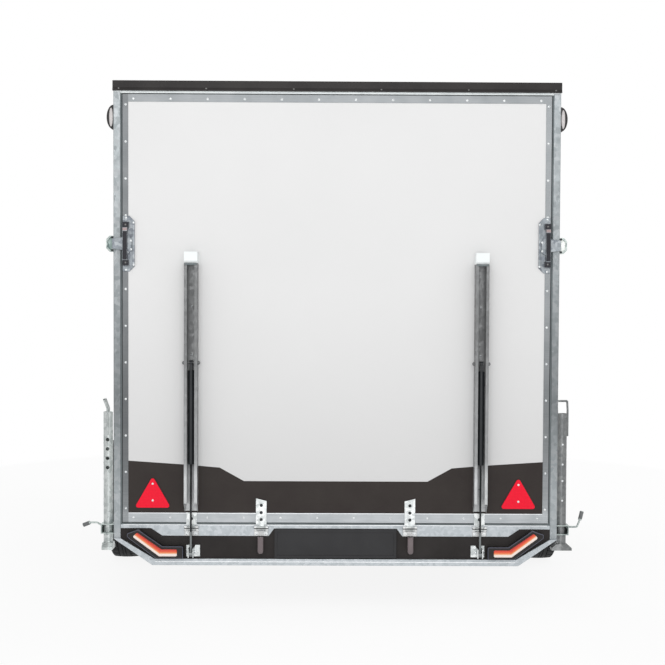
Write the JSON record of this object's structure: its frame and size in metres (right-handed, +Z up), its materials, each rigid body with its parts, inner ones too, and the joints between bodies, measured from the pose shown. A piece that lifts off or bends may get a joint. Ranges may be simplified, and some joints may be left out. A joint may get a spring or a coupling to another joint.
{
  "type": "box trailer",
  "caption": "Closed box trailer with tandem axles, overrun coupling, jockey wheel, steady legs and a full-height rear ramp door on gas springs.",
  "frame": {"origin": "on the ground under the middle of the overall box", "axes": "+Y forward to the coupling, +X to the right, +Z up"},
  "size_m": [2.482, 5.55, 2.458],
  "materials": {
    "aluminium": "satin",
    "amber": "gloss",
    "black_paint": "satin",
    "black_plastic": "matt",
    "floor_ply": "film faced",
    "galvanised": "hot-dip galvanised",
    "lamp_red": "gloss",
    "red_reflector": "gloss",
    "rubber": "matt",
    "steel_rod": "polished",
    "tyre": "matt",
    "white_panel": "satin",
    "white_plastic": "gloss",
    "zinc": "zinc plated"
  },
  "bodies": {
    "chassis": {"floor_panel": "floor_ply", "side_wall_left": "white_panel", "side_wall_right": "white_panel", "front_wall": "white_panel", "roof_panel": "white_panel", "edge_profiles": "aluminium", "rear_posts": "galvanised", "rear_header": "aluminium", "drip_trim": "black_plastic", "rear_sill": "galvanised", "rear_board": "black_plastic", "rear_bumper": "galvanised", "chassis_rails": "galvanised", "chassis_crossmembers": "galvanised", "drawbar_arms": "galvanised", "overrun_housing": "zinc", "coupling_gaiter": "rubber", "coupling_head": "zinc", "handbrake_lever": "black_paint", "axle_rear": "galvanised", "axle_front": "galvanised", "mudguard_left": "black_plastic", "mudguard_right": "black_plastic", "number_plate_holder": "black_plastic", "plate_lamps": "black_plastic", "rear_lamp_housings": "black_plastic", "rear_lamp_lenses": "lamp_red", "outline_lamps": "black_plastic", "marker_lamps": "amber", "hinge_lower_leaves": "galvanised", "strut_brackets": "galvanised", "latch_keepers": "galvanised", "leg_clamps": "galvanised", "jockey_clamp": "galvanised", "jockey_tube": "galvanised"},
    "ramp": {"ramp_panel": "white_panel", "ramp_frame": "aluminium", "ramp_channels": "galvanised", "channel_caps": "white_plastic", "hinge_upper_leaves": "galvanised", "ramp_latches": "galvanised", "ramp_reflectors": "red_reflector"},
    "strut_barrel_left": {"strut_cylinder_left": "black_paint"},
    "strut_piston_left": {"strut_rod_left": "steel_rod"},
    "leg_left": {"leg_left": "galvanised"},
    "strut_barrel_right": {"strut_cylinder_right": "black_paint"},
    "strut_piston_right": {"strut_rod_right": "steel_rod"},
    "leg_right": {"leg_right": "galvanised"},
    "wheel_rear_left": {"tyre_rear_left": "tyre", "rim_rear_left": "zinc"},
    "wheel_rear_right": {"tyre_rear_right": "tyre", "rim_rear_right": "zinc"},
    "wheel_front_left": {"tyre_front_left": "tyre", "rim_front_left": "zinc"},
    "wheel_front_right": {"tyre_front_right": "tyre", "rim_front_right": "zinc"},
    "jockey_stem": {"jockey_inner": "zinc"},
    "jockey_caster": {"jockey_fork": "zinc"},
    "jockey_wheel": {"jockey_wheel": "rubber"}
  },
  "joints": [
    {"name": "ramp_hinge", "type": "hinge", "parent": "chassis", "child": "ramp", "pos_m": [0, -2.719, 0.375], "axis": [1, 0, 0], "range_deg": [0, 100]},
    {"name": "strut_swing_left", "type": "hinge", "parent": "ramp", "child": "strut_barrel_left", "pos_m": [-0.675, -2.741, 1.15], "axis": [-1, 0, 0], "range_deg": [0, 8.5]},
    {"name": "strut_slide_left", "type": "slide", "parent": "strut_barrel_left", "child": "strut_piston_left", "axis": [0, 0.009, 1], "range_m": [0, 0.17]},
    {"name": "leg_slide_left", "type": "slide", "parent": "chassis", "child": "leg_left", "axis": [0, 0, 1], "range_m": [-0.236, 0.04]},
    {"name": "strut_swing_right", "type": "hinge", "parent": "ramp", "child": "strut_barrel_right", "pos_m": [0.675, -2.741, 1.15], "axis": [-1, 0, 0], "range_deg": [0, 8.5]},
    {"name": "strut_slide_right", "type": "slide", "parent": "strut_barrel_right", "child": "strut_piston_right", "axis": [0, 0.009, 1], "range_m": [0, 0.17]},
    {"name": "leg_slide_right", "type": "slide", "parent": "chassis", "child": "leg_right", "axis": [0, 0, 1], "range_m": [-0.236, 0.04]},
    {"name": "wheel_spin_rear_left", "type": "hinge", "parent": "chassis", "child": "wheel_rear_left", "pos_m": [-1.153, -1.325, 0.298], "axis": [1, 0, 0], "continuous": true},
    {"name": "wheel_spin_rear_right", "type": "hinge", "parent": "chassis", "child": "wheel_rear_right", "pos_m": [1.153, -1.325, 0.298], "axis": [1, 0, 0], "continuous": true},
    {"name": "wheel_spin_front_left", "type": "hinge", "parent": "chassis", "child": "wheel_front_left", "pos_m": [-1.153, -0.625, 0.298], "axis": [1, 0, 0], "continuous": true},
    {"name": "wheel_spin_front_right", "type": "hinge", "parent": "chassis", "child": "wheel_front_right", "pos_m": [1.153, -0.625, 0.298], "axis": [1, 0, 0], "continuous": true},
    {"name": "jockey_lift", "type": "slide", "parent": "chassis", "child": "jockey_stem", "axis": [0, 0, 1], "range_m": [-0.06, 0.06]},
    {"name": "jockey_swivel", "type": "hinge", "parent": "jockey_stem", "child": "jockey_caster", "pos_m": [-0.32418, 1.995, 0.236], "axis": [0, 0, 1], "continuous": true},
    {"name": "jockey_wheel_spin", "type": "hinge", "parent": "jockey_caster", "child": "jockey_wheel", "pos_m": [-0.32418, 1.957, 0.1], "axis": [1, 0, 0], "continuous": true}
  ],
  "couplings": [
    {"joint": "strut_swing_left", "follows": "ramp_hinge", "ratio": 0.078},
    {"joint": "strut_slide_left", "follows": "ramp_hinge", "m_per_rad": 0.089},
    {"joint": "strut_swing_right", "follows": "ramp_hinge", "ratio": 0.078},
    {"joint": "strut_slide_right", "follows": "ramp_hinge", "m_per_rad": 0.089}
  ]
}
